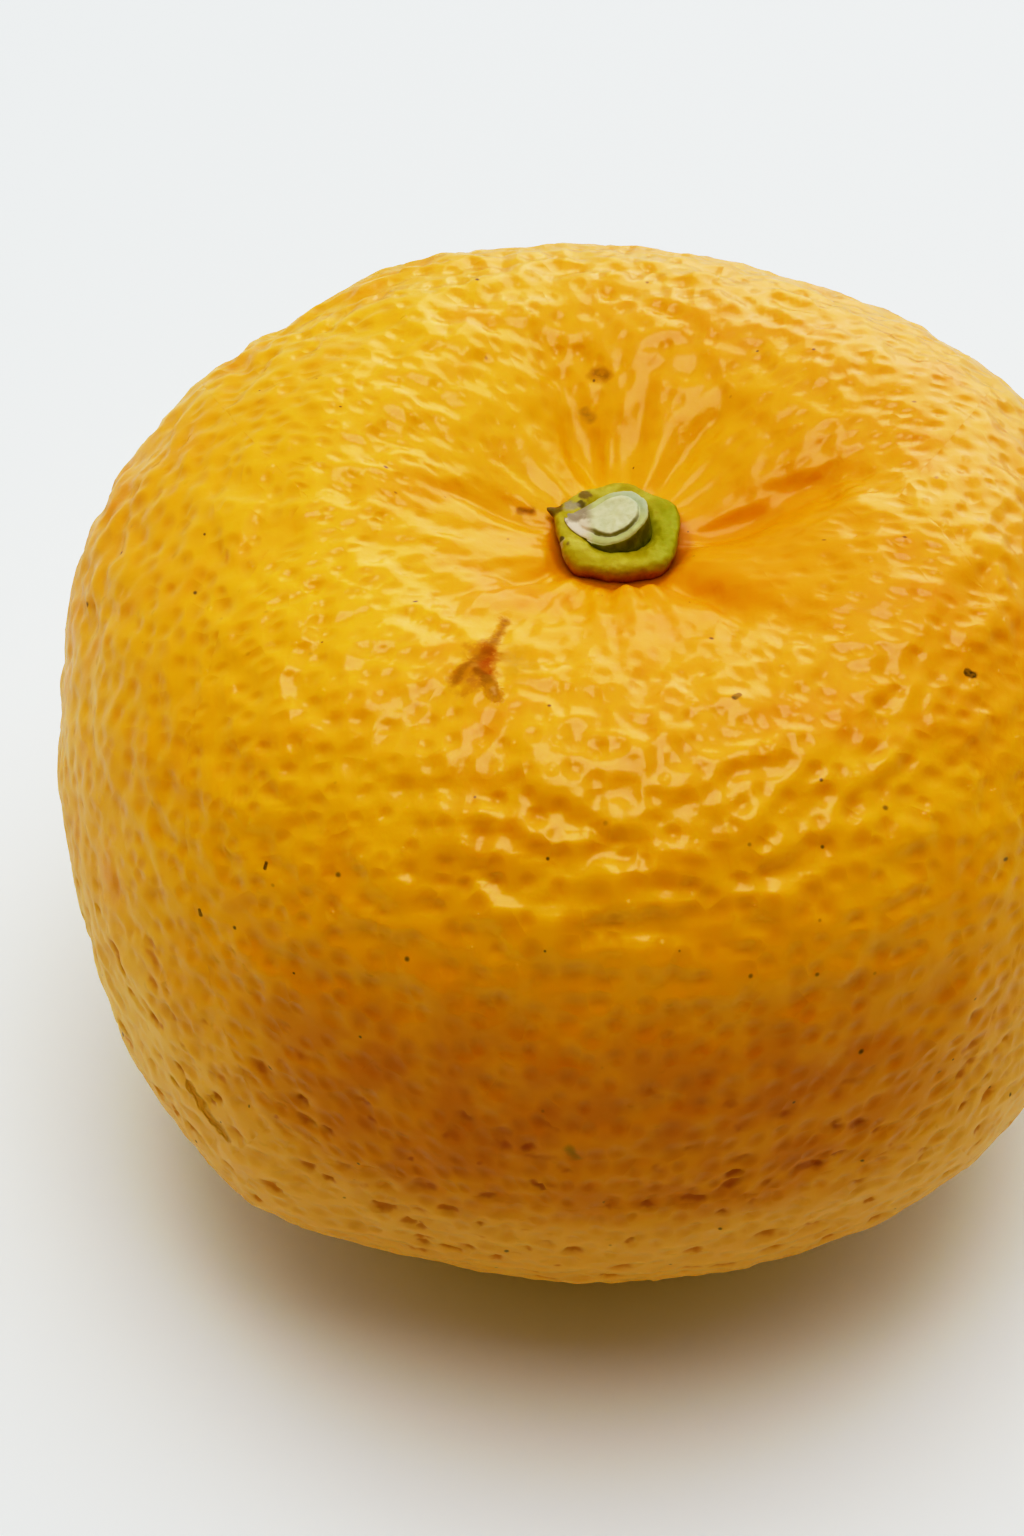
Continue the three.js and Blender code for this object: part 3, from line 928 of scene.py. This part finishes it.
def makeStalk(material):
    azimuths = [360 * i / stalk["sectors"] for i in range(stalk["sectors"])]
    step, steps, inner = stalk["stepHeight"], stalk["sideSteps"], stalk["innerDrop"]
    # share, depth, drop of each loop, from the foot up the side and over the cut to its middle
    loops = [(1.0, 1 - k / steps, step) for k in range(steps)]
    loops += [(share, 0.0, step + drop) for share, drop in stalk["barkLoops"]]
    loops += [(share, 0.0, drop) for share, drop in stalk["woodLoops"]]
    loops += [(share, 0.0, inner) for share in stalk["innerLoops"]]
    rows = [[stalkPoint(azimuth, *loop) for azimuth in azimuths] for loop in loops]
    caps = (stalkPoint(0, 0, 1, step), stalkPoint(0, 0, 0, inner))
    piece = makeRows("stalk", rows, caps, material)
    shares = [loop[0] + loop[1] for loop in loops for _ in azimuths] + [2.0, 0.0]
    attribute = piece.data.attributes.new("share", "FLOAT", "POINT")
    attribute.data.foreach_set("value", shares)
    return piece


# a point in millimetres, and from the foot of the calyx
def stemPlaces(tree):
    place = scaled(tree, addNode(tree, "ShaderNodeTexCoord").outputs["Object"], 1 / mm)
    return place, axes(tree, vectors(tree, "SUBTRACT", place, stemFoot))


# how much of a point on the calyx belongs to a mark there
def markAt(tree, place, azimuth, reach, rise, size):
    a = math.radians(azimuth)
    middle = stemFoot + Vector((reach * math.cos(a), reach * math.sin(a), rise))
    waver = wobble(tree, place, 0.45)
    distance = vectors(tree, "DISTANCE", place, middle, output="Value")
    distance = maths(tree, "MULTIPLY_ADD", waver, size, distance)
    return ramp(tree, distance, size, size * (1 - calyx["markSoftness"]))


def makeCalyxMaterial():
    material, tree, shader = newMaterial("calyxGreen", calyx["finish"])
    place, local = stemPlaces(tree)
    patches = noise(tree, place, 1.5, detail=3.0)
    flecks = noise(tree, place, 0.3)
    shades = calyx["colours"]
    base = mixColour(tree, ramp(tree, patches, 0.35, 0.68), shades["plain"], shades["pale"])
    # browner low on the outside, and darker still towards the foot
    low = added(tree, local["Z"], product(tree, centred(tree, patches), 1.2))
    outside = ramp(tree, flatLength(tree, local["X"], local["Y"]), 2.9, 3.6)
    layers = [
        (ramp(tree, local["X"], 0.8, 3.8, 0.0, 0.7), shades["green"]),
        (ramp(tree, flecks, 0.55, 0.75, 0.0, 0.3), shades["fleck"]),
        (product(tree, (low, 1.5, 0.8), outside), shades["dry"]),
        (product(tree, (low, 1.1, 0.5), outside), shades["foot"]),
    ]
    for azimuth, reach, rise, size, shade in calyx["marks"]:
        share = product(tree, markAt(tree, place, azimuth, reach, rise, size), 0.85)
        layers.append((share, shade))
    feed(tree, shader.inputs["Base Color"], layered(tree, base, layers))
    lumps = product(tree, noise(tree, place, 0.5, detail=3.0), 0.10)
    height = added(tree, lumps, product(tree, flecks, 0.03))
    feed(tree, shader.inputs["Normal"], bumped(tree, height, 0.8))
    return material


def makeStalkMaterial():
    material, tree, shader = newMaterial("cutStalk", stalk["finish"])
    place, local = stemPlaces(tree)
    share = addNode(tree, "ShaderNodeAttribute", attribute_name="share").outputs["Fac"]
    waver = wobble(tree, place, 0.7, detail=3.0)
    ring = maths(tree, "MULTIPLY_ADD", waver, 0.12, share)
    grain = noise(tree, place, 0.6, detail=3.0)
    shades = stalk["colours"]
    wood = mixColour(tree, ramp(tree, grain, 0.3, 0.7), shades["wood"], shades["paleWood"])
    # the bark: a dark line inside it, a pale cut edge and an olive side
    front = ramp(tree, local["Y"], 0.2, -1.0, 0.05, 0.9)
    line = product(tree, (ring, 0.64, 0.71), (ring, 0.78, 0.73), front)
    blue = product(tree, (ring, 0.58, 0.72), (added(tree, local["X"], local["Y"]), 0.6, 2.2))
    bark = mixColour(tree, ramp(tree, grain, 0.35, 0.65), shades["bark"], shades["paleBark"])
    torn = product(tree, (local["X"], -1.3, -2.0), (share, 1.2, 1.0))
    dry = ramp(tree, maths(tree, "MULTIPLY_ADD", waver, 2.0, local["Y"]), 0.0, 0.6)
    scar = mixColour(tree, dry, shades["scar"], shades["dryScar"])
    colour = layered(tree, wood, (
        (ramp(tree, share, 0.25, 0.0, 0.0, 0.5), shades["heart"]),
        (line, shades["line"]),
        (ramp(tree, ring, 0.74, 0.80), shades["edge"]),
        (blue, shades["blue"]),
        (ramp(tree, share, 0.985, 1.06), bark),
        (torn, scar),
    ))
    feed(tree, shader.inputs["Base Color"], colour)
    lumps = product(tree, noise(tree, place, 0.7, detail=3.0), 0.08)
    height = added(tree, product(tree, grain, 0.05), lumps)
    feed(tree, shader.inputs["Normal"], bumped(tree, height, 0.8))
    return material


view = {
    "elevation": 48.0,  # degrees above the table
    "distance": 260 * mm,  # from the middle of the girth
    "aside": -5.2 * mm,
    "lift": 0.5 * mm,
    "focal": 97.97,
    "sensor": 36.0,
}

table = {"reach": 6.0, "colour": (0.875, 0.94, 0.955), "roughness": 0.6}

# some lights are there for the gloss alone
lights = {
    "overhead": {
        "azimuth": 85, "elevation": 89.5, "distance": 1.2, "size": 1.0, "energy": 8.8,
        "colour": (1.0, 1.0, 1.0), "diffuse": True, "gloss": False,
    },
    "ceiling": {
        "azimuth": 85, "elevation": 85, "distance": 1.2, "size": 0.68, "energy": 6.0,
        "colour": (1.0, 0.84, 1.0), "diffuse": False, "gloss": True,
    },
    "window": {
        "azimuth": 70, "elevation": 20, "distance": 1.4, "size": 1.05, "energy": 7.6,
        "colour": (1.0, 0.86, 0.92), "diffuse": False, "gloss": True,
    },
}

room = {
    "frontColour": (1.0, 0.60, 0.36),
    "backColour": (0.95, 1.0, 1.02),
    "frontStrength": 0.22,
    "backStrength": 0.80,
}

# contrast of the finished picture, scene light to shown light, and of its blue alone
tone = ((0.0, 0.0), (0.05, 0.012), (0.12, 0.055), (0.25, 0.17), (0.42, 0.385), (0.6, 0.61),
        (0.95, 0.87), (1.6, 1.0))
blueTone = ((0.03, 0.006), (0.06, 0.035), (0.13, 0.118))


def makeCamera():
    e = math.radians(view["elevation"])
    back = Vector((0, -math.cos(e), math.sin(e)))
    up = Vector((0, math.sin(e), math.cos(e)))
    camera = bpy.data.objects.new("camera", bpy.data.cameras.new("camera"))
    scene.collection.objects.link(camera)
    camera.location = girth["centre"] + back * view["distance"] + up * view["lift"]
    camera.location.x += view["aside"]
    camera.rotation_euler = (math.radians(90 - view["elevation"]), 0, 0)
    camera.data.lens = view["focal"]
    camera.data.sensor_width = view["sensor"]
    camera.data.clip_start = 5 * mm
    scene.camera = camera


def makeFloor():
    material, tree, shader = newMaterial("paleTable", {"Roughness": table["roughness"]})
    feed(tree, shader.inputs["Base Color"], table["colour"])
    side = table["reach"]
    mesh = bpy.data.meshes.new("floor")
    corners = [(-side, -side, 0), (side, -side, 0), (side, side, 0), (-side, side, 0)]
    mesh.from_pydata(corners, [], [(0, 1, 2, 3)])
    mesh.materials.append(material)
    floor = bpy.data.objects.new("floor", mesh)
    scene.collection.objects.link(floor)


def makeLights():
    for name, light in lights.items():
        a, e = math.radians(light["azimuth"]), math.radians(light["elevation"])
        way = Vector((math.cos(e) * math.cos(a), math.cos(e) * math.sin(a), math.sin(e)))
        lamp = bpy.data.objects.new(name, bpy.data.lights.new(name, "AREA"))
        scene.collection.objects.link(lamp)
        lamp.location = girth["centre"] + way * light["distance"]
        lamp.rotation_euler = way.to_track_quat("Z", "Y").to_euler()
        lamp.data.shape = "SQUARE"
        lamp.data.size = light["size"]
        lamp.data.energy = light["energy"]
        lamp.data.color = light["colour"]
        lamp.visible_diffuse = light["diffuse"]
        lamp.visible_glossy = light["gloss"]


def makeWorld():
    world = bpy.data.worlds.new("studio")
    world.use_nodes = True
    scene.world = world
    tree = world.node_tree
    background = next(n for n in tree.nodes if n.type == "BACKGROUND")
    y = axes(tree, addNode(tree, "ShaderNodeTexCoord").outputs["Generated"])["Y"]
    strength = ramp(tree, y, -0.8, 0.7, room["frontStrength"], room["backStrength"])
    colour = mixColour(tree, ramp(tree, y, -0.8, 0.1), room["frontColour"], room["backColour"])
    feed(tree, background.inputs["Color"], colour)
    feed(tree, background.inputs["Strength"], strength)


def makeTone():
    settings = scene.view_settings
    settings.view_transform = "Standard"
    settings.use_curve_mapping = True
    mapping = settings.curve_mapping
    mapping.clip_max_x = tone[-1][0]
    mapping.use_clip = False
    curve = mapping.curves[3]
    curve.points[0].location = tone[0]
    curve.points[-1].location = tone[-1]
    for place in tone[1:-1]:
        curve.points.new(*place)
    blue = mapping.curves[2]
    blue.points[-1].location = (1.0, 1.0)
    for place in blueTone:
        blue.points.new(*place)
    mapping.update()


makeCamera()
makeFloor()
makeLights()
makeWorld()
makeTone()
print("stage:", len(lights), "lights")

peelPiece = makePeel(makePeelMaterial())
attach(peelPiece, "root")
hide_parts("fruit")
print("peel:", len(peelPiece.data.polygons), "faces")

calyxPiece = makeCalyx(makeCalyxMaterial())
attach(calyxPiece, "root")
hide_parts("calyx")
print("calyx:", len(calyxPiece.data.polygons), "faces")

stalkPiece = makeStalk(makeStalkMaterial())
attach(stalkPiece, "root")
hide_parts("stalk_stub")
print("stalk:", len(stalkPiece.data.polygons), "faces")

bpy.data.objects.remove(guide)
